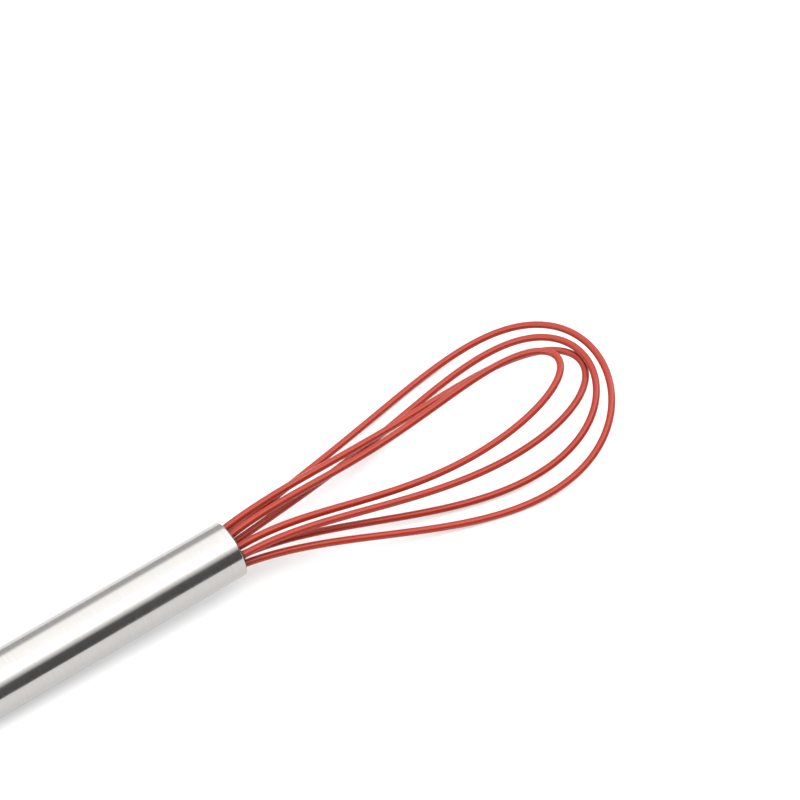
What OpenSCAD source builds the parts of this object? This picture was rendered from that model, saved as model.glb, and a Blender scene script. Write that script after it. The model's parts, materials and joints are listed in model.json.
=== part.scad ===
// Hand whisk: a steel tube handle with four nested loops of silicone-coated spring wire.
// The handle frame has its origin at the centre of the tube's mouth, +X towards the loops, +Z up.
// lay_down() then tilts the whole whisk until it rests on the plane z = 0 on the tube's back edge
// and on the belly of the outer loop, and centres its footprint on the origin.

/* [Handle] */
// Outside diameter of the handle tube
handle_d = 18.5; // [17:0.5:23]
// Wall of the handle tube
handle_wall = 0.9; // [0.7:0.1:1.3]
// Length of the handle tube
handle_len = 114; // [80:1:150]
// Radius rolled on the outer edge of the tube's mouth
mouth_edge_r = 0.45; // [0.2:0.05:0.6]

/* [Wires] */
// Diameter of the spring wire
wire_d = 1.3; // [1:0.05:1.6]
// Outside diameter of the silicone coat
coat_d = 2.4; // [2:0.05:2.6]
// Stretches in the sweep of each loop
loop_rings = 56; // [40:4:72]

/* [Loops] */
// Reach of the outer loop from the face of the mouth seal
head_reach = 138.5; // [110:0.5:170]
// How much shorter the second, third and inner loops are than the outer one
reach_steps = [3.5, 4.5, 14]; // [0:0.5:30]
// Flare of each loop, outer to inner: half-width that opens straight from the mouth
loop_flares = [15.5, 8.5, 7.5, 5]; // [4:0.5:20]
// Belly of each loop, outer to inner: half-width that swells towards the tip
loop_bellies = [31, 30, 14.5, 12.5]; // [8:0.5:34]
// Side profile of the outer loop: heights of its control points at each quarter of the reach
outer_heights = [-2, -23.5, -24, -3.5]; // [-40:0.5:10]
// Side profile of the second loop
second_heights = [-2.5, -22.5, -21, -4.5]; // [-40:0.5:10]
// Side profile of the third loop
third_heights = [6.5, -18, -11.5, -7]; // [-40:0.5:10]
// Side profile of the inner loop
inner_heights = [8, -19.5, -4.5, 1.5]; // [-40:0.5:10]

/* [Mouth plug] */
// Thickness of the dark mouth seal
seal_t = 4; // [3:0.5:6]
// How far the seal stands out of the tube's mouth
seal_proud = 0.5; // [0.2:0.1:1]
// Width of the seal's web between an outer wire place and the tube
seal_web = 0.95; // [0.85:0.05:1.3]
// Height of the two rows of wire places above and below the handle's axis
exit_row_h = 2.3; // [2:0.1:3]
// Share of a row's half-width at which its inner wire places stand
exit_share = 0.42; // [0.36:0.02:0.46]
// Thickness of the guide disc behind the seal
guide_t = 1.5; // [1:0.25:3]
// Length of the cast resin between the two discs
potting_len = 12; // [8:1:20]
// Thickness of the anchor disc behind the resin
anchor_t = 2; // [1.5:0.25:3]
// Length of the crimped ferrules behind the anchor disc
ferrule_len = 5; // [3:0.5:8]
// Wall of the ferrules
ferrule_wall = 0.55; // [0.4:0.05:0.6]

/* [Butt cap] */
// Thickness of the cap's rim
cap_rim_t = 1.2; // [1:0.1:2]
// How far the rim stands in from the tube's outside, all round
cap_step = 0.1; // [0.1:0.05:0.3]
// Rise of the cap's dome above its rim
cap_dome_h = 2.6; // [2:0.1:4]
// Depth of the cap's spigot inside the tube
spigot_len = 9; // [8:0.5:14]
// Wall of the hollow spigot
spigot_wall = 2.4; // [2.2:0.1:3]
// Thickness of the cap's web, which carries the hanger
cap_web_t = 3; // [2.5:0.25:4]
// Diameter of the section of the cap's sealing ring
seal_ring_d = 1.5; // [1.2:0.1:1.8]
// Distance of the sealing ring from the spigot's end
seal_ring_back = 3; // [2.5:0.25:4]
// Room beside the sealing ring in its groove, on each side
groove_room = 0.15; // [0.1:0.05:0.3]

/* [Hanger] */
// Diameter of the hanger's shank
shank_d = 3; // [2.5:0.25:3.5]
// Length of the shank past its nut
shank_proud = 0.8; // [0.4:0.1:1.5]
// Diameter of the hanger's collar on the dome
collar_d = 6; // [5:0.25:7]
// Thickness of the collar
collar_t = 1.2; // [0.8:0.1:2]
// Depth of the collar's seat in the top of the dome
collar_seat_t = 0.4; // [0.2:0.1:0.8]
// Diameter of the hanger's eye
eye_d = 6.4; // [6:0.1:8]
// Width of the eye along its hole
eye_w = 2.8; // [2.4:0.1:3.4]
// How deep the eye runs into the collar
eye_sink = 0.3; // [0.2:0.1:0.6]
// Thickness of the washer under the nut
washer_t = 0.8; // [0.5:0.1:1.2]
// Diameter of the washer
washer_d = 6.8; // [6:0.1:8]
// Thickness of the nut
nut_t = 2.4; // [2:0.1:3]
// Width of the nut across its corners
nut_d = 6.2; // [5.5:0.1:7]
// Diameter of the wire of the hanging ring
ring_wire_d = 2; // [1.6:0.1:2.2]
// Diameter of the hanging ring, measured to the middle of its wire
ring_d = 14.5; // [13:0.5:16]

/* [Fits] */
// Radial gap of the discs, the seal and the spigot in the tube
plug_gap = 0.05; // [0.03:0.01:0.1]
// Radial gap round a coat in the seal's holes
coat_gap = 0.1; // [0.06:0.01:0.15]
// Radial gap round a bare wire in its coat, in the discs, the resin and the ferrules
wire_gap = 0.03; // [0.02:0.01:0.05]
// Radial gap of the shank in the cap, the washer and the nut
shank_gap = 0.05; // [0.03:0.01:0.1]
// Play of the ring's wire in the eye, on the radius
eye_play = 0.4; // [0.35:0.05:0.6]

/* [Hidden] */

steel = [0.76, 0.76, 0.75];
bright_steel = [0.85, 0.85, 0.86];
dark_resin = [0.13, 0.09, 0.08];
amber_resin = [0.62, 0.5, 0.33];
red_silicone = [0.75, 0.2, 0.17];
black_rubber = [0.08, 0.08, 0.08];

round_fn = 96;
small_fn = 48;
tube_sides = 8;
overrun = 1;

// Handle and plug, along the handle axis
handle_r = handle_d / 2;
bore_r = handle_r - handle_wall;
plug_r = bore_r - plug_gap;
coat_r = coat_d / 2;
wire_r = wire_d / 2;
seal_face_x = seal_proud;
guide_face_x = seal_face_x - seal_t;
potting_face_x = guide_face_x - guide_t;
anchor_face_x = potting_face_x - potting_len;
ferrule_face_x = anchor_face_x - anchor_t;
wire_end_x = ferrule_face_x - ferrule_len;

// Loops, outer to inner. Each leaves the seal at a place [y, z] and at its mirrored place.
outer_exit_y = sqrt(pow(bore_r - seal_web - coat_r, 2) - pow(exit_row_h, 2));
inner_exit_y = exit_share * outer_exit_y;
exits = [
    [outer_exit_y, -exit_row_h],
    [inner_exit_y, -exit_row_h],
    [outer_exit_y, exit_row_h],
    [inner_exit_y, exit_row_h]
];
loop_reaches = [head_reach, for (step = reach_steps) head_reach - step];
loop_heights = [outer_heights, second_heights, third_heights, inner_heights];

// Butt cap and hanger, behind the tube
cap_r = handle_r - cap_step;
rim_x = -handle_len - cap_rim_t;
dome_x = rim_x - cap_dome_h;
collar_seat_x = dome_x + collar_seat_t;
eye_x = collar_seat_x - collar_t - eye_d / 2 + eye_sink;
eye_bore_r = ring_wire_d / 2 + eye_play;
spigot_end_x = -handle_len + spigot_len;
groove_x = spigot_end_x - seal_ring_back;
nut_seat_x = rim_x + cap_web_t;
shank_end_x = nut_seat_x + washer_t + nut_t + shank_proud;
ring_r = ring_d / 2;
ring_wire_r = ring_wire_d / 2;

// Rest on the plane z = 0: the tube's back edge and the outer loop's belly touch it
outer_path = loop_path(0);
rest_tilt = max([for (p = outer_path) atan((coat_r - p.z - handle_r) / (p.x + handle_len))]);
mouth_h = handle_r * cos(rest_tilt) + handle_len * sin(rest_tilt);
eye_h = mouth_h + eye_x * sin(rest_tilt);
ring_droop = asin(min(1, (eye_h - ring_wire_r) / ring_d));
tip = loop_point(0, 0);
far_x = tip.x * cos(rest_tilt) - tip.z * sin(rest_tilt) + coat_r;
near_x = eye_x * cos(rest_tilt) - ring_d * cos(ring_droop) - ring_wire_r;
centre_x = (far_x + near_x) / 2;

// Height at share s of the reach, from the exit height and the four control heights:
// a polynomial of the fourth degree in Bernstein form
function profile_z(z0, h, s) =
    z0 * pow(1 - s, 4) + 4 * h[0] * s * pow(1 - s, 3) + 6 * h[1] * pow(s * (1 - s), 2)
    + 4 * h[2] * pow(s, 3) * (1 - s) + h[3] * pow(s, 4);

// A point of loop k's centre line. The angle t runs from -180 and 180 at the mouth to 0 at the tip.
function loop_point(k, t) =
    let (c = cos(t / 2), s = c * c)
    [
        seal_face_x + loop_reaches[k] * s,
        exits[k].x * sin(t / 2) + sin(t) * (loop_flares[k] * c + loop_bellies[k] * pow(c, 3)),
        profile_z(exits[k].y, loop_heights[k], s)
    ];

function loop_path(k) = [for (i = [0:loop_rings]) loop_point(k, -180 + 360 * i / loop_rings)];

// The loop's path with straight ends that run back along the handle to x = end_x
function tailed_path(k, end_x) =
    let (path = loop_path(k), first = path[0], last = path[loop_rings])
    [[end_x, first.y, first.z], each path, [end_x, last.y, last.z]];

function unit(v) = v / norm(v);

// Direction of a path at point i, the mean of the directions of its two neighbouring chords
function heading(path, i) =
    let (
        n = len(path) - 1,
        before = i > 0 ? unit(path[i] - path[i - 1]) : [0, 0, 0],
        after = i < n ? unit(path[i + 1] - path[i]) : [0, 0, 0]
    )
    unit(before + after);

// Corners of the ring of radius r round point i, in the plane across the path
function ring_points(path, i, r) =
    let (
        ahead = heading(path, i),
        side = unit(cross(ahead, [0, 0, 1])),
        up = cross(side, ahead)
    )
    [for (j = [0:tube_sides - 1])
        let (a = 360 * j / tube_sides) path[i] + r * (cos(a) * side + sin(a) * up)];

// Corner j of ring i, counted from corner number base
function corner(base, i, j) = base + i * tube_sides + j % tube_sides;

// Two triangles for each side of each stretch of a swept tube
function tube_faces(rings, base, inward) = [
    for (i = [0:rings - 2], j = [0:tube_sides - 1])
        let (
            a = corner(base, i, j),
            b = corner(base, i, j + 1),
            c = corner(base, i + 1, j + 1),
            d = corner(base, i + 1, j)
        )
        each inward ? [[a, c, b], [a, d, c]] : [[a, b, c], [a, c, d]]
];

// Flat end of a swept tube, between its outer ring i and its bore's ring
function end_faces(outer_base, inner_base, i, forward) = [
    for (j = [0:tube_sides - 1])
        let (
            a = corner(outer_base, i, j),
            b = corner(outer_base, i, j + 1),
            c = corner(inner_base, i, j + 1),
            d = corner(inner_base, i, j)
        )
        each forward ? [[a, b, c], [a, c, d]] : [[a, c, b], [a, d, c]]
];

// A solid wire of radius r along a path
module swept_wire(path, r) {
    rings = len(path);
    polyhedron(
        points = [for (i = [0:rings - 1]) each ring_points(path, i, r)],
        faces = [
            each tube_faces(rings, 0, true),
            [for (j = [0:tube_sides - 1]) corner(0, 0, j)],
            [for (j = [0:tube_sides - 1]) corner(0, rings - 1, tube_sides - 1 - j)]
        ]
    );
}

// A hose of outer radius r and bore radius bore along a path
module swept_hose(path, r, bore) {
    rings = len(path);
    inner_base = rings * tube_sides;
    polyhedron(
        points = [
            for (radius = [r, bore], i = [0:rings - 1]) each ring_points(path, i, radius)
        ],
        faces = [
            each tube_faces(rings, 0, true),
            each tube_faces(rings, inner_base, false),
            each end_faces(0, inner_base, 0, true),
            each end_faces(0, inner_base, rings - 1, false)
        ]
    );
}

// Lays the handle frame on the plane z = 0
module lay_down() {
    translate([-centre_x, 0, mouth_h]) rotate([0, -rest_tilt, 0]) children();
}

// A cylinder along +X that starts at x
module rod(x, length, r, fn = small_fn) {
    translate([x, 0, 0]) rotate([0, 90, 0]) cylinder(h = length, r = r, $fn = fn);
}

// Its children at the eight wire places of the mouth
module at_exits() {
    for (place = exits, side = [-1, 1])
        translate([0, side * place.x, place.y]) children();
}

// A disc in the tube from x = back to x = front, drilled for the eight wires
module drilled_disc(back, front, hole_r) {
    difference() {
        rod(back, front - back, plug_r, round_fn);
        at_exits() rod(back - overrun, front - back + 2 * overrun, hole_r);
    }
}

module handle_tube() {
    color(steel) lay_down() rotate([0, 90, 0]) rotate_extrude($fn = round_fn) {
        difference() {
            translate([bore_r, -handle_len]) square([handle_wall, handle_len]);
            translate([handle_r - mouth_edge_r, -mouth_edge_r]) square(mouth_edge_r + overrun);
        }
        intersection() {
            translate([handle_r - mouth_edge_r, -mouth_edge_r]) circle(mouth_edge_r, $fn = small_fn);
            translate([handle_r - mouth_edge_r, -mouth_edge_r]) square(mouth_edge_r);
        }
    }
}

module mouth_seal() {
    color(dark_resin) lay_down() drilled_disc(guide_face_x, seal_face_x, coat_r + coat_gap);
}

module guide_disc() {
    color(steel) lay_down() drilled_disc(potting_face_x, guide_face_x, wire_r + wire_gap);
}

module potting_collar() {
    color(amber_resin) lay_down() drilled_disc(anchor_face_x, potting_face_x, wire_r + wire_gap);
}

module anchor_disc() {
    color(steel) lay_down() drilled_disc(ferrule_face_x, anchor_face_x, wire_r + wire_gap);
}

module crimp_ferrules() {
    color(bright_steel) lay_down() at_exits() difference() {
        rod(wire_end_x, ferrule_len, wire_r + ferrule_wall);
        rod(wire_end_x - overrun, ferrule_len + 2 * overrun, wire_r + wire_gap);
    }
}

module coat(k) {
    color(red_silicone) lay_down()
        swept_hose(tailed_path(k, guide_face_x), coat_r, wire_r + wire_gap);
}

module core(k) {
    color(steel) lay_down() swept_wire(tailed_path(k, wire_end_x), wire_r);
}

module butt_cap() {
    dome_r = (cap_r * cap_r + cap_dome_h * cap_dome_h) / (2 * cap_dome_h);
    color(steel) lay_down() difference() {
        union() {
            rod(rim_x, cap_rim_t, cap_r, round_fn);
            rod(-handle_len - overrun / 2, spigot_len + overrun / 2, plug_r, round_fn);
            intersection() {
                translate([dome_x + dome_r, 0, 0]) sphere(r = dome_r, $fn = round_fn);
                rod(dome_x - overrun, cap_dome_h + overrun + cap_rim_t / 2, cap_r, round_fn);
            }
        }
        rod(dome_x - overrun, collar_seat_t + overrun, collar_d / 2 + shank_gap);
        rod(dome_x - overrun, handle_len, shank_d / 2 + shank_gap);
        rod(nut_seat_x, handle_len, plug_r - spigot_wall);
        seal_groove();
    }
}

// Square groove round the spigot for the sealing ring
module seal_groove() {
    depth = seal_ring_d - plug_gap;
    width = seal_ring_d + 2 * groove_room;
    translate([groove_x, 0, 0]) rotate([0, 90, 0]) rotate_extrude($fn = round_fn)
        translate([plug_r - depth, -width / 2]) square([depth + overrun, width]);
}

module cap_seal() {
    color(black_rubber) lay_down() translate([groove_x, 0, 0]) rotate([0, 90, 0])
        rotate_extrude($fn = round_fn)
            translate([bore_r - seal_ring_d / 2 - plug_gap / 2, 0])
                circle(d = seal_ring_d - plug_gap, $fn = small_fn);
}

module hanger_eye() {
    color(bright_steel) lay_down() difference() {
        union() {
            rod(collar_seat_x - collar_t, collar_t, collar_d / 2);
            rod(collar_seat_x - overrun / 2, shank_end_x - collar_seat_x + overrun / 2, shank_d / 2);
            translate([eye_x, 0, 0]) rotate([90, 0, 0])
                cylinder(h = eye_w, d = eye_d, center = true, $fn = round_fn);
        }
        translate([eye_x, 0, 0]) rotate([90, 0, 0])
            cylinder(h = eye_w + 2 * overrun, r = eye_bore_r, center = true, $fn = small_fn);
    }
}

module eye_washer() {
    color(bright_steel) lay_down() difference() {
        rod(nut_seat_x, washer_t, washer_d / 2);
        rod(nut_seat_x - overrun, washer_t + 2 * overrun, shank_d / 2 + shank_gap);
    }
}

module eye_nut() {
    color(bright_steel) lay_down() difference() {
        rod(nut_seat_x + washer_t, nut_t, nut_d / 2, 6);
        rod(nut_seat_x, washer_t + nut_t + overrun, shank_d / 2 + shank_gap);
    }
}

module hanging_ring() {
    color(bright_steel)
        translate([eye_x * cos(rest_tilt) - centre_x, 0, eye_h])
            rotate([0, -ring_droop, 0])
                translate([-ring_r, 0, 0])
                    rotate_extrude($fn = round_fn)
                        translate([ring_r, 0]) circle(r = ring_wire_r, $fn = small_fn);
}

handle_tube();
mouth_seal();
guide_disc();
potting_collar();
anchor_disc();
crimp_ferrules();
coat(0);  // coat_1
coat(1);  // coat_2
coat(2);  // coat_3
coat(3);  // coat_4
core(0);  // core_1
core(1);  // core_2
core(2);  // core_3
core(3);  // core_4
butt_cap();
cap_seal();
hanger_eye();
eye_washer();
eye_nut();
hanging_ring();
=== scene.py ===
"""Looks of a hand whisk: a brushed steel handle and four nested loops of coated spring wire.

Each visible sub-assembly is a class with its sizes in millimetres. Its surfaces are worked out in
the handle's own axes and put into the shared frame, in metres, by HandleAxes. The pieces that the
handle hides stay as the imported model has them, with materials of their own.
"""

import json
import logging
import math
from dataclasses import dataclass
from enum import Enum

import bpy
import numpy as np
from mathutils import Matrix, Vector


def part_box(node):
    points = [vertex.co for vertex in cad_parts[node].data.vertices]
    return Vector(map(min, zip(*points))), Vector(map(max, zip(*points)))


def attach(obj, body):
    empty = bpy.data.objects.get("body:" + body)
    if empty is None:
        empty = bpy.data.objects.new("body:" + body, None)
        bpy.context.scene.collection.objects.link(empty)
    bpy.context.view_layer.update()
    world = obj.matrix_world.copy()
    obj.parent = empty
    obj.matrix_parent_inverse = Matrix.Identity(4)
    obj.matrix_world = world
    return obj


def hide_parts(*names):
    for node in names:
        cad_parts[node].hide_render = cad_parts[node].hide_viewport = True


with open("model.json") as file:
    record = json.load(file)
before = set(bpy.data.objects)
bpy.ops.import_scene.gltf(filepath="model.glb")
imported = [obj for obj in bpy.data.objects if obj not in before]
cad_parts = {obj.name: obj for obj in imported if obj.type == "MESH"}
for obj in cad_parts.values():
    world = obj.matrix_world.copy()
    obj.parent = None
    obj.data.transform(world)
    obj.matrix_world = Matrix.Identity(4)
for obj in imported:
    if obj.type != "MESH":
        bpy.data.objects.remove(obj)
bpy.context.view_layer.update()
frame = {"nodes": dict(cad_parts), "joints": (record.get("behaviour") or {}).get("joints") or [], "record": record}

MM = 0.001
PROFILE_UV = "profile"
WHISK_BODY = "whisk"
RING_BODY = "ring"
LOG = logging.getLogger("whisk")
# Thickness of the handle's steel tube, in millimetres
TUBE_WALL = 0.9
# Turned pieces start this far from their axis, in millimetres, and a fan closes the middle
POLE_R = 0.1
# Points of an outline that are closer than this, in millimetres, are one point
SAME_POINT = 1e-6
# Width of the camera's sensor, in millimetres
SENSOR_W = 36


# ---------------------------------------------------------------- axes and surfaces


@dataclass(frozen=True)
class HandleAxes:
    """The handle's own axes: x runs from the centre of the mouth towards the loops, z is up.

    Attributes:
        mouth: centre of the tube's mouth in the shared frame, in metres.
        along: unit vector from the butt to the mouth.
        outer_r: outside radius of the tube, in millimetres.
        length: length of the tube, in millimetres.
    """

    mouth: np.ndarray
    along: np.ndarray
    outer_r: float
    length: float

    @classmethod
    def from_record(cls, record: dict, mouth_edge: float) -> "HandleAxes":
        """Finds the axes from the grip, the straight part of the tube that ends at the rounded edge.

        Args:
            record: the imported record.
            mouth_edge: radius rolled on the edge of the mouth, in millimetres.

        Returns:
            The handle's axes.
        """
        grip = next(mount for mount in record["mounts"] if mount["name"] == "handle_grip")
        along = -np.array(grip["axis"], float)
        along /= np.linalg.norm(along)
        grip_length = grip["dims"]["length_mm"]
        mouth = np.array(grip["pos_m"], float) + along * (grip_length / 2 + mouth_edge) * MM
        return cls(mouth, along, grip["dims"]["r_mm"], grip_length + mouth_edge)

    @property
    def up(self) -> np.ndarray:
        """Unit vector square to the handle in its upright plane."""
        return np.array([-self.along[2], 0.0, self.along[0]])

    @property
    def tilt(self) -> float:
        """Rise of the handle towards its mouth, in radians."""
        return math.atan2(self.along[2], self.along[0])

    def placed(self, points: np.ndarray) -> np.ndarray:
        """Moves points from the handle's axes, in millimetres, to the shared frame, in metres.

        Args:
            points: array whose last axis holds x, y and z.

        Returns:
            An array of the same shape.
        """
        basis = np.stack([self.along, [0.0, 1.0, 0.0], self.up])
        return self.mouth + points @ basis * MM


@dataclass(frozen=True)
class Shell:
    """A closed surface worked out on a grid: each row is a ring of points that runs round.

    The rings run from the first column's direction to the side that makes the faces point
    outwards when the rows go forwards. The ends are closed by fans, or the last row joins the
    first one.

    Attributes:
        points: array of rows by columns by 3.
        looped: whether the last row joins the first.
    """

    points: np.ndarray
    looped: bool = False

    def vertices(self) -> np.ndarray:
        """Returns the points of the grid, with the middle of each end ring after them."""
        flat = self.points.reshape(-1, 3)
        if self.looped:
            return flat
        return np.concatenate([flat, self.points[[0, -1]].mean(axis=1)])

    def faces(self) -> tuple[list[list[int]], np.ndarray]:
        """Joins the grid's points into four-sided faces, and the ends into fans.

        Returns:
            The faces, and one pair of coordinates for each of their corners: the share of the
            way along the rows and the share of the way round.
        """
        rows, columns = self.points.shape[:2]
        stretches = rows if self.looped else rows - 1
        row, column = np.meshgrid(np.arange(stretches), np.arange(columns), indexing="ij")
        corner_row = np.stack([row, row, row + 1, row + 1], axis=-1).reshape(-1, 4)
        corner_column = np.stack([column, column + 1, column + 1, column], axis=-1).reshape(-1, 4)
        quads = corner_row % rows * columns + corner_column % columns
        shares = np.stack([corner_row / stretches, corner_column / columns], axis=-1)
        faces, corners = quads.tolist(), [shares.reshape(-1, 2)]
        if not self.looped:
            around = np.arange(columns)
            onward = (around + 1) % columns
            first, last = rows * columns, rows * columns + 1
            end = (rows - 1) * columns
            faces += np.stack([np.full(columns, first), onward, around], axis=-1).tolist()
            faces += np.stack([np.full(columns, last), end + around, end + onward], axis=-1).tolist()
            # The fan's middle lies half a column on
            for share, order in ((0.0, (0.5, 1, 0)), (1.0, (0.5, 0, 1))):
                turn = np.stack([around + step for step in order], axis=-1) / columns
                corners.append(np.stack([np.full_like(turn, share), turn], -1).reshape(-1, 2))
        return faces, np.concatenate(corners)


def straight(
    start: tuple[float, float], end: tuple[float, float], edge: float = 0.04
) -> np.ndarray:
    """A straight stretch of a profile, with a point close to each end so that it shades flat.

    Args:
        start: first point, as (x, radius) in millimetres.
        end: last point.
        edge: how close to each end the extra points are.

    Returns:
        The points, 4 by 2, or the two ends where the stretch is short.
    """
    first, last = np.array(start, float), np.array(end, float)
    length = np.linalg.norm(last - first)
    shares = np.array([0, 1] if length < 3 * edge else [0, edge / length, 1 - edge / length, 1])
    return first + shares[:, None] * (last - first)


def arc(
    centre: tuple[float, float], radius: float, start: float, end: float, count: int = 7
) -> np.ndarray:
    """A round stretch of a profile: centre plus radius times (cosine, sine) of an even turn.

    Args:
        centre: centre of the arc, as (x, radius) in millimetres.
        radius: radius of the arc.
        start: first angle in degrees, from the x axis towards larger radii.
        end: last angle in degrees.
        count: number of points.

    Returns:
        The points, count by 2.
    """
    turn = np.radians(np.linspace(start, end, count))
    return np.array(centre) + radius * np.stack([np.cos(turn), np.sin(turn)], axis=-1)


def outline(*stretches: np.ndarray) -> np.ndarray:
    """Joins stretches of a profile end to end and drops the points that they share.

    Args:
        stretches: arrays of (x, radius) points.

    Returns:
        The whole profile.
    """
    points = np.concatenate(stretches)
    step = np.linalg.norm(np.diff(points, axis=0), axis=1)
    return points[np.concatenate([[True], step > SAME_POINT])]


def lathe(profile: np.ndarray, sides: int, looped: bool) -> Shell:
    """Turns a profile about the handle's axis: (x, radius cosine, radius sine) of an even turn.

    Args:
        profile: (x, radius) points that go from the butt outwards and then towards the mouth.
        sides: number of columns.
        looped: whether the profile closes on itself, as a tube's wall does.

    Returns:
        The shell in the handle's axes.
    """
    turn = np.linspace(0, 2 * np.pi, sides, endpoint=False)
    x = np.broadcast_to(profile[:, :1], (len(profile), sides))
    radius = profile[:, 1:]
    return Shell(np.stack([x, radius * np.cos(turn), radius * np.sin(turn)], axis=-1), looped)


def swept(path: np.ndarray, radius: np.ndarray, sides: int) -> Shell:
    """Carries a circle along a path: its point plus radius times a turn in the plane across it.

    Args:
        path: points of the centre line, n by 3. It never runs straight up.
        radius: radius at each point.
        sides: number of columns.

    Returns:
        The shell, with both ends closed.
    """
    ahead = np.gradient(path, axis=0)
    ahead /= np.linalg.norm(ahead, axis=1, keepdims=True)
    side = np.cross([0.0, 0.0, 1.0], ahead)
    side /= np.linalg.norm(side, axis=1, keepdims=True)
    up = np.cross(ahead, side)
    turn = np.linspace(0, 2 * np.pi, sides, endpoint=False)[None, :, None]
    across = np.cos(turn) * side[:, None] + np.sin(turn) * up[:, None]
    return Shell(path[:, None] + radius[:, None, None] * across)


def make_piece(
    name: str, shells: list[Shell], material: bpy.types.Material, axes: HandleAxes | None = None
) -> bpy.types.Object:
    """Puts closed shells into one smooth mesh object at the origin.

    Args:
        name: name of the piece.
        shells: its surfaces, in the handle's axes, or in the shared frame where axes is None.
        material: its material.
        axes: the handle's axes.

    Returns:
        The new object.
    """
    vertices, faces, shares = [], [], []
    for shell in shells:
        start = sum(len(block) for block in vertices)
        shell_faces, shell_shares = shell.faces()
        faces += [[start + corner for corner in face] for face in shell_faces]
        vertices.append(shell.vertices())
        shares.append(shell_shares)
    points = np.concatenate(vertices)
    mesh = bpy.data.meshes.new(name)
    mesh.from_pydata(axes.placed(points) if axes else points, [], faces)
    layer = mesh.uv_layers.new(name=PROFILE_UV)
    layer.data.foreach_set("uv", np.concatenate(shares).astype(np.float32).ravel())
    mesh.polygons.foreach_set("use_smooth", np.ones(len(faces), bool))
    mesh.materials.append(material)
    mesh.update()
    piece = bpy.data.objects.new(name, mesh)
    bpy.context.scene.collection.objects.link(piece)
    return piece


def hand_over(piece: bpy.types.Object, node: str, body: str) -> None:
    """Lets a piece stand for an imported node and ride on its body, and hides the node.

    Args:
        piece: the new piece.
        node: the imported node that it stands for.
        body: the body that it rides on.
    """
    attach(piece, body)
    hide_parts(node)
    LOG.info("made %s with %d faces, on %s", piece.name, len(piece.data.polygons), body)


# ---------------------------------------------------------------- finishes


def linear(code: str) -> tuple[float, float, float, float]:
    """Turns an sRGB hex colour into linear light.

    Args:
        code: six hex digits after a hash.

    Returns:
        Red, green, blue and an opaque alpha.
    """
    shares = np.array([int(code[i : i + 2], 16) / 255 for i in (1, 3, 5)])
    light = np.where(shares <= 0.04045, shares / 12.92, ((shares + 0.055) / 1.055) ** 2.4)
    return (*light.tolist(), 1.0)


def add_node(
    tree: bpy.types.NodeTree, kind: str, inputs: dict | None = None, **settings: object
) -> bpy.types.Node:
    """Adds a node with its settings and links.

    Args:
        tree: the node tree.
        kind: the node's type.
        inputs: for each input's name or number, a value or another node's output.
        settings: the node's own properties.

    Returns:
        The new node.
    """
    node = tree.nodes.new(kind)
    for key, value in settings.items():
        setattr(node, key, value)
    for key, value in (inputs or {}).items():
        if isinstance(value, bpy.types.NodeSocket):
            tree.links.new(value, node.inputs[key])
        else:
            node.inputs[key].default_value = value
    return node


def new_material(name: str) -> tuple[bpy.types.Material, bpy.types.NodeTree, bpy.types.Node]:
    """Starts a material.

    Args:
        name: its name.

    Returns:
        The material, its node tree and its Principled shader.
    """
    material = bpy.data.materials.new(name)
    material.use_nodes = True
    return material, material.node_tree, material.node_tree.nodes["Principled BSDF"]


def blend(
    tree: bpy.types.NodeTree, share: bpy.types.NodeSocket, deep: str, pale: str
) -> bpy.types.NodeSocket:
    """Mixes two colours by a pattern.

    Args:
        tree: the node tree.
        share: the pattern, 0 for the deeper colour and 1 for the paler one.
        deep: the deeper colour.
        pale: the paler colour.

    Returns:
        The mixed colour's output.
    """
    # A colour Mix node takes its share at 0 and its colours at 6 and 7, and gives them at 2
    inputs = {0: share, 6: linear(deep), 7: linear(pale)}
    return add_node(tree, "ShaderNodeMix", inputs, data_type="RGBA").outputs[2]


def spread(
    tree: bpy.types.NodeTree,
    pattern: bpy.types.NodeSocket,
    ends: tuple[float, float],
    middle: float,
    swing: float,
) -> bpy.types.NodeSocket:
    """Spreads a pattern evenly about a middle value.

    Args:
        tree: the node tree.
        pattern: the pattern.
        ends: the pattern's values that give the two ends.
        middle: the middle of the new range.
        swing: half of the new range.

    Returns:
        The new value's output.
    """
    inputs = {0: pattern, 1: ends[0], 2: ends[1], 3: middle - swing, 4: middle + swing}
    return add_node(tree, "ShaderNodeMapRange", inputs).outputs[0]


def carve(
    tree: bpy.types.NodeTree, height: bpy.types.NodeSocket, depth: float
) -> bpy.types.NodeSocket:
    """Turns a pattern into relief.

    Args:
        tree: the node tree.
        height: the pattern, from 0 to 1.
        depth: its depth, in micrometres.

    Returns:
        The normal's output.
    """
    inputs = {"Height": height, "Distance": depth * MM * MM}
    return add_node(tree, "ShaderNodeBump", inputs).outputs[0]


def speckle(
    tree: bpy.types.NodeTree, place: bpy.types.NodeSocket, size: float
) -> bpy.types.NodeSocket:
    """Makes an even noise.

    Args:
        tree: the node tree.
        place: where each point of the surface is.
        size: size of the noise's largest spots, in millimetres.

    Returns:
        The noise's output.
    """
    inputs = {0: place, "Scale": 1 / (size * MM), "Detail": 3.0}
    return add_node(tree, "ShaderNodeTexNoise", inputs).outputs[0]


class Grooves(Enum):
    """How the marks of a metal's finishing run."""

    BROKEN_ARCS = "round the handle, in short strokes of an abrasive belt"
    LATHE_RINGS = "in whole rings, as a turning tool leaves them"


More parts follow.
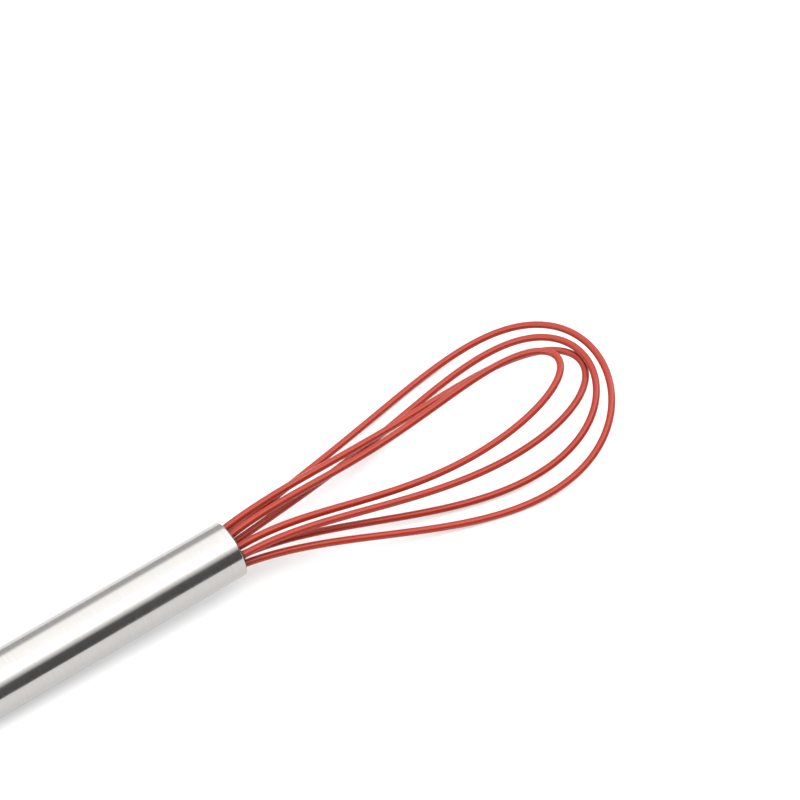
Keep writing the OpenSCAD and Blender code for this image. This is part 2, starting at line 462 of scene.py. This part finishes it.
@dataclass(frozen=True)
class GroovedSteel:
    """Stainless steel with marks that run round the handle's axis.

    The marks spread a reflection along the handle and leave it crisp across, so lights show as
    long bands. The spacing of real marks is under a tenth of a millimetre. It is drawn coarser
    so that it shows.

    Attributes:
        name: name of the material.
        pale: colour of the crests.
        deep: colour of the marks.
        roughness: mean roughness.
        swing: how far the roughness strays from its mean.
        anisotropy: share by which the gloss stretches across the marks.
        spacing: distance between marks, in millimetres.
        stroke: length of a mark, in millimetres.
        depth: depth of the marks, in micrometres.
        grooves: how the marks run.
        smudge: size of the handling smudges, in millimetres.
        wear_ends: wear that gives the lowest and the highest roughness.
    """

    name: str
    pale: str
    deep: str
    roughness: float
    swing: float
    anisotropy: float
    spacing: float
    stroke: float
    depth: float
    grooves: Grooves
    smudge: float = 50 / 3
    wear_ends: tuple[float, float] = (0.1, 0.4)

    def material(self, axes: HandleAxes) -> bpy.types.Material:
        """Builds the material.

        Args:
            axes: the handle's axes, which the marks run round.

        Returns:
            The material.
        """
        material, tree, shader = new_material(self.name)
        place = add_node(tree, "ShaderNodeTexCoord").outputs["Object"]
        centre = add_node(
            tree, "ShaderNodeVectorMath", {0: place, 1: axes.mouth.tolist()}, operation="SUBTRACT"
        )
        own = add_node(tree, "ShaderNodeMapping", {0: centre.outputs[0], "Rotation": (0, axes.tilt, 0)})
        across = 1 / (self.stroke * MM)
        if self.grooves is Grooves.LATHE_RINGS:
            parts = add_node(tree, "ShaderNodeSeparateXYZ", {0: own.outputs[0]})
            flat = add_node(tree, "ShaderNodeMapping", {0: own.outputs[0], "Scale": (0, 1, 1)})
            radius = add_node(tree, "ShaderNodeVectorMath", {0: flat.outputs[0]}, operation="LENGTH")
            reach = add_node(tree, "ShaderNodeMath", {0: parts.outputs[0], 1: radius.outputs["Value"]})
            own = add_node(tree, "ShaderNodeCombineXYZ", {0: reach.outputs[0]})
            across = 0.0
        scale = (1 / (self.spacing * MM), across, across)
        marks_place = add_node(tree, "ShaderNodeMapping", {0: own.outputs[0], "Scale": scale})
        marks = add_node(
            tree, "ShaderNodeTexNoise", {0: marks_place.outputs[0], "Scale": 1.0, "Detail": 3.0}
        )
        spots = {0: place, "Scale": 1 / (self.smudge * MM), "Detail": 2.0}
        smudges = add_node(tree, "ShaderNodeTexNoise", spots)
        wear = add_node(
            tree, "ShaderNodeMath", {0: marks.outputs[0], 1: smudges.outputs[0]}, operation="MULTIPLY"
        )
        colour = blend(tree, marks.outputs[0], self.deep, self.pale)
        rough = spread(tree, wear.outputs[0], self.wear_ends, self.roughness, self.swing)
        bump = carve(tree, marks.outputs[0], self.depth)
        tangent = add_node(tree, "ShaderNodeTangent", direction_type="UV_MAP", uv_map=PROFILE_UV)
        shader.inputs["Metallic"].default_value = 1.0
        shader.inputs["Anisotropic"].default_value = self.anisotropy
        tree.links.new(colour, shader.inputs["Base Color"])
        tree.links.new(rough, shader.inputs["Roughness"])
        tree.links.new(bump, shader.inputs["Normal"])
        tree.links.new(tangent.outputs[0], shader.inputs["Tangent"])
        return material


@dataclass(frozen=True)
class PlainFinish:
    """A finish without a direction: polished steel, drawn wire, silicone, resin or rubber.

    Attributes:
        name: name of the material.
        pale: colour of the paler patches.
        deep: colour of the deeper patches.
        roughness: mean roughness.
        swing: how far the roughness strays from its mean.
        grain: size of the surface's grain, in millimetres.
        depth: depth of the grain, in micrometres.
        patch: size of the patches of colour, in millimetres.
        metallic: 1 for a metal, 0 for anything else.
        ior: refractive index. A metal keeps the default.
        scatter: share of light that scatters under the surface.
        scatter_reach: how far that light travels, in millimetres.
        scatter_tint: share of that distance for red, green and blue.
        grain_ends: grain that gives the lowest and the highest roughness.
    """

    name: str
    pale: str
    deep: str
    roughness: float
    swing: float
    grain: float
    depth: float
    patch: float
    metallic: float = 0.0
    ior: float = 1.5
    scatter: float = 0.0
    scatter_reach: float = 0.6
    scatter_tint: tuple[float, float, float] = (1.0, 0.25, 0.15)
    grain_ends: tuple[float, float] = (0.3, 0.7)

    def material(self) -> bpy.types.Material:
        """Builds the material.

        Returns:
            The material.
        """
        material, tree, shader = new_material(self.name)
        place = add_node(tree, "ShaderNodeTexCoord").outputs["Object"]
        grain = speckle(tree, place, self.grain)
        patches = speckle(tree, place, self.patch)
        colour = blend(tree, patches, self.deep, self.pale)
        rough = spread(tree, grain, self.grain_ends, self.roughness, self.swing)
        bump = carve(tree, grain, self.depth)
        shader.inputs["Metallic"].default_value = self.metallic
        shader.inputs["IOR"].default_value = self.ior
        shader.inputs["Subsurface Weight"].default_value = self.scatter
        shader.inputs["Subsurface Radius"].default_value = self.scatter_tint
        shader.inputs["Subsurface Scale"].default_value = self.scatter_reach * MM
        tree.links.new(colour, shader.inputs["Base Color"])
        tree.links.new(rough, shader.inputs["Roughness"])
        tree.links.new(bump, shader.inputs["Normal"])
        return material


# Belt-brushed 18/10 tube: a warm grey metal whose strokes run round it
BRUSHED_TUBE = GroovedSteel(
    "stainless_brushed", "#B5B2B0", "#A6A4A1", 0.2, 0.05, 0.75, 0.3, 12, 2.2, Grooves.BROKEN_ARCS
)
# Turned 18/10 cap: fine unbroken rings that fan a light out from the centre
TURNED_CAP = GroovedSteel(
    "stainless_turned", "#B7B4B1", "#ABA8A5", 0.22, 0.05, 0.6, 0.25, 5, 2, Grooves.LATHE_RINGS
)
# Pressed steel disc: dull, with the sheet's grain
PRESSED_DISC = PlainFinish("stainless_pressed", "#B4B3B1", "#9E9D9B", 0.38, 0.08, 0.3, 4, 3, metallic=1)
# Drawn and tumbled steel: bright, with a few handling marks
POLISHED_STEEL = PlainFinish(
    "stainless_polished", "#BFBEBC", "#B3B2B0", 0.15, 0.06, 0.5, 1.5, 4, metallic=1
)
# Hard-drawn spring wire: grey, slightly dull from the die
SPRING_WIRE = PlainFinish("spring_steel_drawn", "#B0AFAE", "#A09F9E", 0.3, 0.08, 0.2, 2, 6, metallic=1)
# Extruded silicone sleeve: satin red with a soft, broad gloss
RED_SILICONE = PlainFinish(
    "silicone_red", "#90240E", "#87200B", 0.24, 0.05, 0.25, 4, 9, ior=1.43, scatter=0.02
)
# Cast epoxy seal: nearly black brown, glossy where it crept up the sleeves
SEAL_EPOXY = PlainFinish("epoxy_dark", "#35251F", "#1E1512", 0.3, 0.1, 0.6, 12, 2, ior=1.55)
# Cast potting resin: cloudy amber
POTTING_RESIN = PlainFinish("resin_amber", "#B59A68", "#8F7443", 0.35, 0.1, 0.8, 10, 3, ior=1.55)
# Moulded nitrile ring: black with a dry bloom
NITRILE = PlainFinish("nitrile_black", "#262626", "#161616", 0.6, 0.1, 0.3, 8, 2, ior=1.52)


# ---------------------------------------------------------------- handle


@dataclass(frozen=True)
class HandleTube:
    """The straight tube of the handle, with its mouth's edge rolled over."""

    wall: float = TUBE_WALL
    mouth_edge: float = 0.45
    small_edge: float = 0.15
    sides: int = 160

    def shell(self, axes: HandleAxes) -> Shell:
        """Turns the wall's closed section: along the outside, over the mouth's edge and back.

        Args:
            axes: the handle's axes, with the tube's radius and length.

        Returns:
            The tube's surface.
        """
        outer, back, edge, small = axes.outer_r, -axes.length, self.mouth_edge, self.small_edge
        bore = outer - self.wall
        profile = outline(
            arc((back + small, outer - small), small, 180, 90, 5),
            straight((back + small, outer), (-edge, outer)),
            arc((-edge, outer - edge), edge, 90, 0, 10),
            straight((0, outer - edge), (0, bore + small)),
            arc((-small, bore + small), small, 0, -90, 5),
            straight((-small, bore), (back + small, bore)),
            arc((back + small, bore + small), small, -90, -180, 5),
        )
        return lathe(profile, self.sides, looped=True)

    def dress(self, axes: HandleAxes) -> None:
        """Makes the tube's piece in brushed steel."""
        piece = make_piece("handle_tube_brushed", [self.shell(axes)], BRUSHED_TUBE.material(axes), axes)
        hand_over(piece, "handle_tube", WHISK_BODY)


@dataclass(frozen=True)
class ButtCap:
    """The domed cap at the butt: rim, dome with a seat for the hanger, and a grooved spigot inside."""

    wall: float = TUBE_WALL
    gap: float = 0.05
    step: float = 0.1
    rim_t: float = 1.2
    dome_h: float = 2.6
    rim_edge: float = 0.3
    spigot_len: float = 9.0
    spigot_wall: float = 2.4
    web_t: float = 3.0
    seat_r: float = 3.05
    seat_depth: float = 0.4
    hole_r: float = 1.55
    groove_back: float = 3.0
    groove_w: float = 1.8
    groove_depth: float = 1.45
    lip: float = 0.12
    seam: float = 0.01
    sides: int = 128

    @property
    def height(self) -> float:
        """How far the cap stands out of the tube."""
        return self.rim_t + self.dome_h

    def shell(self, axes: HandleAxes) -> Shell:
        """Turns the cap's closed section, from the hanger's seat over the dome and down the spigot.

        Args:
            axes: the handle's axes.

        Returns:
            The cap's surface.
        """
        joint = -axes.length
        cap_r = axes.outer_r - self.step
        plug_r = axes.outer_r - self.wall - self.gap
        dome = joint - self.height
        dome_r = (cap_r**2 + self.dome_h**2) / (2 * self.dome_h)
        centre = dome + dome_r
        seat_turn = math.degrees(math.asin(self.seat_r / dome_r))
        edge = self.rim_edge
        # The rim's rounding touches the dome inside and the rim's cylinder
        edge_r = cap_r - edge
        edge_x = centre - math.sqrt((dome_r - edge) ** 2 - edge_r**2)
        edge_turn = math.degrees(math.atan2(edge_r, centre - edge_x))
        seat = dome + self.seat_depth
        seat_edge = centre - math.sqrt(dome_r**2 - self.seat_r**2)
        end = joint + self.spigot_len
        groove_start = end - self.groove_back - self.groove_w / 2
        groove_end = groove_start + self.groove_w
        groove_r = plug_r - self.groove_depth
        inner_r = plug_r - self.spigot_wall
        nut_seat = joint + self.web_t - self.rim_t
        lip = self.lip
        profile = outline(
            straight((seat, self.hole_r), (seat, self.seat_r)),
            straight((seat, self.seat_r), (seat_edge, self.seat_r)),
            arc((centre, 0), dome_r, 180 - seat_turn, 180 - edge_turn, 28),
            arc((edge_x, edge_r), edge, 180 - edge_turn, 90, 7),
            straight((edge_x, cap_r), (joint - lip, cap_r)),
            arc((joint - lip, cap_r - lip), lip, 90, 0, 4),
            straight((joint, cap_r - lip), (joint, plug_r)),
            straight((joint, plug_r), (groove_start, plug_r)),
            straight((groove_start, plug_r), (groove_start, groove_r)),
            straight((groove_start, groove_r), (groove_end, groove_r)),
            straight((groove_end, groove_r), (groove_end, plug_r)),
            straight((groove_end, plug_r), (end - lip, plug_r)),
            arc((end - lip, plug_r - lip), lip, 90, 0, 4),
            straight((end, plug_r - lip), (end, inner_r)),
            straight((end, inner_r), (nut_seat, inner_r)),
            straight((nut_seat, inner_r), (nut_seat, self.hole_r)),
            straight((nut_seat, self.hole_r), (seat + self.seam, self.hole_r)),
        )
        return lathe(profile, self.sides, looped=True)

    def dress(self, axes: HandleAxes) -> None:
        """Makes the cap's piece in turned steel."""
        piece = make_piece("butt_cap_turned", [self.shell(axes)], TURNED_CAP.material(axes), axes)
        hand_over(piece, "butt_cap", WHISK_BODY)


@dataclass(frozen=True)
class Hanger:
    """The hanger: a collar on the dome, a shank through the cap and an eye for the ring."""

    collar_r: float = 3.0
    collar_t: float = 1.2
    collar_edge: float = 0.3
    neck_r: float = 1.1
    neck_fillet: float = 0.9
    neck_sink: float = 0.3
    shank_r: float = 1.5
    shank_len: float = 9.2
    shank_edge: float = 0.3
    eye_outer_r: float = 3.2
    eye_bore_r: float = 1.4
    eye_w: float = 2.8
    eye_sink: float = 0.3
    eye_roundness: float = 3.0
    eye_rings: int = 72
    eye_sides: int = 40
    stem_sides: int = 64

    def eye(self, centre: float) -> Shell:
        """Bends a rounded square section round the eye's hole.

        The section is a superellipse: the sign of a cosine or sine times its size to the power
        2 over the roundness.

        Args:
            centre: the eye's centre on the handle's axis.

        Returns:
            The eye's surface.
        """
        around = np.linspace(0, 2 * np.pi, self.eye_rings, endpoint=False)[:, None]
        turn = np.linspace(0, 2 * np.pi, self.eye_sides, endpoint=False)[None, :]
        power = 2 / self.eye_roundness
        outwards = np.sign(np.cos(turn)) * np.abs(np.cos(turn)) ** power
        sideways = np.sign(np.sin(turn)) * np.abs(np.sin(turn)) ** power
        middle_r = (self.eye_outer_r + self.eye_bore_r) / 2
        radius = middle_r + (self.eye_outer_r - self.eye_bore_r) / 2 * outwards
        y = np.broadcast_to(self.eye_w / 2 * sideways, (self.eye_rings, self.eye_sides))
        x, z = centre + radius * np.cos(around), radius * np.sin(around)
        return Shell(np.stack([x, y, z], axis=-1), looped=True)

    def stem(self, seat: float) -> Shell:
        """Turns the neck's hollow fillet, the collar and the shank as one profile.

        Args:
            seat: where the collar sits on the dome, on the handle's axis.

        Returns:
            The stem's surface.
        """
        back = seat - self.collar_t
        neck = back - self.neck_fillet
        end = seat + self.shank_len
        edge, tip = self.collar_edge, self.shank_edge
        profile = outline(
            straight((neck - self.neck_sink, POLE_R), (neck - self.neck_sink, self.neck_r)),
            straight((neck - self.neck_sink, self.neck_r), (neck, self.neck_r)),
            arc((neck, self.neck_r + self.neck_fillet), self.neck_fillet, -90, 0, 9),
            straight((back, self.neck_r + self.neck_fillet), (back, self.collar_r - edge)),
            arc((back + edge, self.collar_r - edge), edge, 180, 90, 6),
            straight((back + edge, self.collar_r), (seat, self.collar_r)),
            straight((seat, self.collar_r), (seat, self.shank_r)),
            straight((seat, self.shank_r), (end - tip, self.shank_r)),
            straight((end - tip, self.shank_r), (end, self.shank_r - tip)),
            straight((end, self.shank_r - tip), (end, POLE_R)),
        )
        return lathe(profile, self.stem_sides, looped=False)

    def dress(self, axes: HandleAxes, cap: ButtCap, steel: bpy.types.Material) -> None:
        """Makes the hanger's piece.

        Args:
            axes: the handle's axes.
            cap: the cap whose seat holds the collar.
            steel: its polished steel.
        """
        seat = -axes.length - cap.height + cap.seat_depth
        centre = seat - self.collar_t - self.eye_outer_r + self.eye_sink
        piece = make_piece("hanger_eye_forged", [self.eye(centre), self.stem(seat)], steel, axes)
        hand_over(piece, "hanger_eye", WHISK_BODY)


@dataclass(frozen=True)
class HangingRing:
    """The welded wire ring that swings in the eye and lies on the table at rest."""

    wire_r: float = 1.0
    weld_turn: float = 105.0
    weld_w: float = 7.0
    weld_h: float = 0.07
    rings: int = 144
    sides: int = 32

    def shell(self) -> Shell:
        """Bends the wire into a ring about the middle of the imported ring's box.

        A point is the centre plus (ring radius + wire radius times cosine) outwards plus wire
        radius times sine across. The wire swells at its weld by a bell curve of the turn.

        Returns:
            The ring's surface, in metres in the shared frame.
        """
        low, high = (np.array(corner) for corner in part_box("hanging_ring"))
        centre = (low + high) / 2
        joint = next(joint for joint in frame["joints"] if joint["name"] == "ring_swing")
        towards_eye = np.array(joint["pos_m"]) - centre
        ring_r = np.linalg.norm(towards_eye)
        towards_eye /= ring_r
        side = np.array([0.0, 1.0, 0.0])
        normal = np.cross(side, towards_eye)
        around = np.linspace(0, 2 * np.pi, self.rings, endpoint=False)[:, None]
        turn = np.linspace(0, 2 * np.pi, self.sides, endpoint=False)[None, :]
        away = (np.degrees(around) - self.weld_turn) / self.weld_w
        wire_r = (self.wire_r + self.weld_h * np.exp(-(away**2))) * MM
        outwards = np.cos(around)[..., None] * towards_eye + np.sin(around)[..., None] * side
        radius = ring_r + wire_r * np.cos(turn)
        points = centre + radius[..., None] * outwards + (wire_r * np.sin(turn))[..., None] * normal
        return Shell(points, looped=True)

    def dress(self, steel: bpy.types.Material) -> None:
        """Makes the ring's piece.

        Args:
            steel: its polished steel.
        """
        piece = make_piece("hanging_ring_welded", [self.shell()], steel)
        hand_over(piece, "hanging_ring", RING_BODY)


# ---------------------------------------------------------------- loops and seal


@dataclass(frozen=True)
class Exits:
    """The eight places where the loops leave the mouth's seal, in two rows of four.

    Attributes:
        seal_proud: how far the seal stands out of the mouth, in millimetres.
        seal_back: the back of the seal on the handle's axis.
        ring_r: distance of the four outer places from the handle's axis.
        row_h: height of the rows above and below the axis.
        share: share of a row's half-width at which its inner places stand.
        coat_r: radius of a coat.
        plug_r: radius of the seal.
    """

    seal_proud: float = 0.5
    seal_back: float = -3.5
    ring_r: float = 6.2
    row_h: float = 2.3
    share: float = 0.42
    coat_r: float = 1.2
    plug_r: float = 8.3

    def place(self, number: int) -> tuple[float, float]:
        """Finds where a loop leaves the seal on the +Y side.

        Args:
            number: the loop's number. Loops 1 and 3 are the outer ones, 1 and 2 the lower ones.

        Returns:
            The place's y and z in the handle's axes.
        """
        outer_y = math.sqrt(self.ring_r**2 - self.row_h**2)
        y = outer_y if number % 2 else outer_y * self.share
        return y, self.row_h if number > 2 else -self.row_h


@dataclass(frozen=True)
class Loop:
    """One loop of coated wire, mirrored about the upright plane through the handle.

    Attributes:
        number: its number, from the outer loop to the inner one.
        reach: how far it reaches from the seal.
        flare: half-width that opens straight from the mouth.
        belly: half-width that swells towards the tip.
        heights: heights of the side profile's control points at each quarter of the reach.
        rings: number of stretches along the loop.
        sides: number of columns round the coat.
    """

    number: int
    reach: float
    flare: float
    belly: float
    heights: tuple[float, float, float, float]
    rings: int = 320
    sides: int = 24

    def centre_line(self, exits: Exits) -> np.ndarray:
        """Works out the loop's centre line from a turn t of -180 to 180 degrees, 0 at the tip.

        With c the cosine of t/2 and s its square, x is the reach times s, y is the exit's y times
        the sine of t/2 plus the sine of t times (flare c + belly c cubed), and z is a polynomial
        of the fourth degree in s, in Bernstein form. Straight ends run back into the seal.

        Args:
            exits: the places where the loops leave the seal.

        Returns:
            The points, n by 3, in the handle's axes.
        """
        turn = np.radians(np.linspace(-180, 180, self.rings + 1))
        c = np.cos(turn / 2)
        s = c**2
        exit_y, exit_z = exits.place(self.number)
        y = exit_y * np.sin(turn / 2) + np.sin(turn) * (self.flare * c + self.belly * c**3)
        controls = (exit_z, *self.heights)
        z = sum(math.comb(4, i) * h * s**i * (1 - s) ** (4 - i) for i, h in enumerate(controls))
        path = np.stack([exits.seal_proud + self.reach * s, y, z], axis=-1)
        tails = path[[0, -1]].copy()
        tails[:, 0] = exits.seal_back
        return np.concatenate([tails[:1], path, tails[1:]])

    def dress(self, axes: HandleAxes, exits: Exits, silicone: bpy.types.Material) -> None:
        """Makes the loop's coat.

        Args:
            axes: the handle's axes.
            exits: the places where the loops leave the seal.
            silicone: the coat's material.
        """
        path = self.centre_line(exits)
        shell = swept(path, np.full(len(path), exits.coat_r), self.sides)
        piece = make_piece(f"coat_{self.number}_silicone", [shell], silicone, axes)
        hand_over(piece, f"coat_{self.number}", WHISK_BODY)


LOOPS = (
    Loop(1, 138.5, 15.5, 31, (-2, -23.5, -24, -3.5)),
    Loop(2, 135, 8.5, 30, (-2.5, -22.5, -21, -4.5)),
    Loop(3, 134, 7.5, 14.5, (6.5, -18, -11.5, -7)),
    Loop(4, 124.5, 5, 12.5, (8, -19.5, -4.5, 1.5)),
)


@dataclass(frozen=True)
class MouthSeal:
    """The dark resin that closes the mouth and creeps up each coat in a small collar."""

    crown: float = 0.1
    collar_h: float = 0.7
    collar_w: float = 0.45
    edge: float = 0.2
    sides: int = 240
    face_rows: int = 64

    def shell(self, exits: Exits) -> Shell:
        """Works the seal out as a turned plug whose front face is a height over (radius, turn).

        The face's height is a shallow crown, lower towards the tube by the square of the radius,
        plus a collar that falls off by a bell curve of the distance from the nearest coat.

        Args:
            exits: the places where the loops leave the seal.

        Returns:
            The seal's surface.
        """
        rim = exits.seal_proud - self.crown
        back_and_side = outline(
            straight((exits.seal_back, POLE_R), (exits.seal_back, exits.plug_r)),
            straight((exits.seal_back, exits.plug_r), (rim - self.edge, exits.plug_r)),
            arc((rim - self.edge, exits.plug_r - self.edge), self.edge, 90, 0, 5),
        )
        turn = np.linspace(0, 2 * np.pi, self.sides, endpoint=False)
        face_r = np.linspace(exits.plug_r - self.edge, POLE_R, self.face_rows)[1:]
        radius = np.concatenate([back_and_side[:, 1], face_r])[:, None]
        y, z = radius * np.cos(turn), radius * np.sin(turn)
        exit_y, exit_z = np.array([exits.place(loop.number) for loop in LOOPS]).T
        nearest = np.hypot(np.abs(y)[..., None] - exit_y, z[..., None] - exit_z).min(axis=-1)
        creep = self.collar_h * np.exp(-((np.maximum(nearest - exits.coat_r, 0) / self.collar_w) ** 2))
        face = exits.seal_proud - self.crown * (radius / exits.plug_r) ** 2 + creep
        back_x = np.repeat(back_and_side[:, :1], self.sides, axis=1)
        x = np.concatenate([back_x, face[len(back_x) :]])
        return Shell(np.stack([x, y, z], axis=-1))

    def dress(self, axes: HandleAxes, exits: Exits) -> None:
        """Makes the seal's piece.

        Args:
            axes: the handle's axes.
            exits: the places where the loops leave the seal.
        """
        piece = make_piece("mouth_seal_cast", [self.shell(exits)], SEAL_EPOXY.material(), axes)
        hand_over(piece, "mouth_seal", WHISK_BODY)


# ---------------------------------------------------------------- hidden pieces


class HiddenPieces:
    """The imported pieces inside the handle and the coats, which keep their shape."""

    def __init__(self, steel: bpy.types.Material) -> None:
        """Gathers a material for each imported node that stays.

        Args:
            steel: the polished steel of the small turned parts.
        """
        pressed, wire = PRESSED_DISC.material(), SPRING_WIRE.material()
        self.materials = {
            "guide_disc": pressed,
            "anchor_disc": pressed,
            "potting_collar": POTTING_RESIN.material(),
            "crimp_ferrules": steel,
            "cap_seal": NITRILE.material(),
            "eye_washer": steel,
            "eye_nut": steel,
        }
        self.materials.update({f"core_{loop.number}": wire for loop in LOOPS})

    def dress(self) -> None:
        """Gives each node its material."""
        for name, material in self.materials.items():
            node = frame["nodes"][name]
            for slot in node.material_slots:
                slot.material = material
            LOG.info("dressed %s in %s", name, material.name)


# ---------------------------------------------------------------- studio


@dataclass(frozen=True)
class Studio:
    """An opal table lit a little from below, under a wide soft light, with a dark near horizon.

    Attributes:
        floor_half: half-width of the table, in metres.
        floor_tone: colour of the table's top.
        floor_glow: light that the top gives off by itself, which keeps shadows pale.
        floor_roughness: roughness of the table's top.
        floor_specular: mirror reflection of the top, 0.5 being what its refractive index gives.
        sky: brightness of the surroundings against the angle over the handle, from the far
            horizon at 0 degrees over the zenith at 90 to the near horizon at 180.
        elevation: the camera's height above the horizon, in degrees.
        azimuth: the camera's turn about the upright, in degrees.
        aim: the point of the table that the camera looks at, in metres.
        distance: from the camera to that point, in metres.
        lens: focal length, in millimetres.
    """

    floor_half: float = 3.0
    floor_tone: str = "#BCBCBC"
    floor_glow: float = 0.36
    floor_roughness: float = 0.9
    floor_specular: float = 0.2
    sky: tuple[tuple[float, float], ...] = (
        (0, 0.75),
        (26, 0.85),
        (41, 2.2),
        (88, 2.4),
        (96, 4.8),
        (110, 4.8),
        (118, 2.8),
        (125, 1.8),
        (134, 1.1),
        (143, 0.17),
        (180, 0.13),
    )
    elevation: float = 50.99
    azimuth: float = -34.57
    aim: tuple[float, float, float] = (0.0798, 0.02849, 0.0)
    distance: float = 0.7433
    lens: float = 100.72

    def lay_floor(self) -> None:
        """Lays the table's top, a matt opal sheet at height 0."""
        half = self.floor_half
        mesh = bpy.data.meshes.new("table")
        corners = [(-half, -half, 0), (half, -half, 0), (half, half, 0), (-half, half, 0)]
        mesh.from_pydata(corners, [], [(0, 1, 2, 3)])
        material, _, shader = new_material("acrylic_opal")
        shader.inputs["Base Color"].default_value = linear(self.floor_tone)
        shader.inputs["Emission Color"].default_value = (1.0, 1.0, 1.0, 1.0)
        shader.inputs["Emission Strength"].default_value = self.floor_glow
        shader.inputs["Roughness"].default_value = self.floor_roughness
        shader.inputs["Specular IOR Level"].default_value = self.floor_specular
        mesh.materials.append(material)
        table = bpy.data.objects.new("table", mesh)
        bpy.context.scene.collection.objects.link(table)

    def hang_lights(self) -> None:
        """Paints the surroundings by their angle over the handle: the arctangent of z over y."""
        world = bpy.data.worlds.new("studio")
        bpy.context.scene.world = world
        world.use_nodes = True
        tree = world.node_tree
        direction = add_node(tree, "ShaderNodeTexCoord").outputs["Generated"]
        parts = add_node(tree, "ShaderNodeSeparateXYZ", {0: direction})
        angle = add_node(
            tree, "ShaderNodeMath", {0: parts.outputs[2], 1: parts.outputs[1]}, operation="ARCTAN2"
        )
        share = add_node(tree, "ShaderNodeMath", {0: angle.outputs[0], 1: math.pi}, operation="DIVIDE")
        ramp = add_node(tree, "ShaderNodeValToRGB", {0: share.outputs[0]})
        brightest = max(level for _, level in self.sky)
        for place, level in self.sky[1:-1]:
            ramp.color_ramp.elements.new(place / 180)
        for element, (place, level) in zip(ramp.color_ramp.elements, self.sky):
            element.position = place / 180
            element.color = (*[level / brightest] * 3, 1.0)
        background = tree.nodes["Background"]
        background.inputs["Strength"].default_value = brightest
        tree.links.new(ramp.outputs[0], background.inputs["Color"])
        bpy.context.scene.view_settings.view_transform = "Standard"

    def set_camera(self) -> None:
        """Places the camera on a sphere round its aim and turns it to look there, level."""
        turn, rise = math.radians(self.azimuth), math.radians(self.elevation)
        level = math.cos(rise)
        back = Vector((math.sin(turn) * level, -math.cos(turn) * level, math.sin(rise)))
        data = bpy.data.cameras.new("camera")
        data.sensor_width = SENSOR_W
        data.lens = self.lens
        camera = bpy.data.objects.new("camera", data)
        camera.location = Vector(self.aim) + back * self.distance
        camera.rotation_mode = "QUATERNION"
        camera.rotation_quaternion = (-back).to_track_quat("-Z", "Y")
        bpy.context.scene.collection.objects.link(camera)
        bpy.context.scene.camera = camera

    def build(self) -> None:
        """Sets up the table, the lights and the camera."""
        self.set_camera()
        self.lay_floor()
        self.hang_lights()
        LOG.info("studio ready")


def main() -> None:
    """Builds the studio and the whisk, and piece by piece."""
    logging.basicConfig(level=logging.INFO, format="%(name)s: %(message)s")
    Studio().build()
    tube, cap, exits = HandleTube(), ButtCap(), Exits()
    axes = HandleAxes.from_record(frame["record"], tube.mouth_edge)
    steel, silicone = POLISHED_STEEL.material(), RED_SILICONE.material()
    tube.dress(axes)
    MouthSeal().dress(axes, exits)
    for loop in LOOPS:
        loop.dress(axes, exits, silicone)
    cap.dress(axes)
    Hanger().dress(axes, cap, steel)
    HangingRing().dress(steel)
    HiddenPieces(steel).dress()


if __name__ == "__main__":
    main()
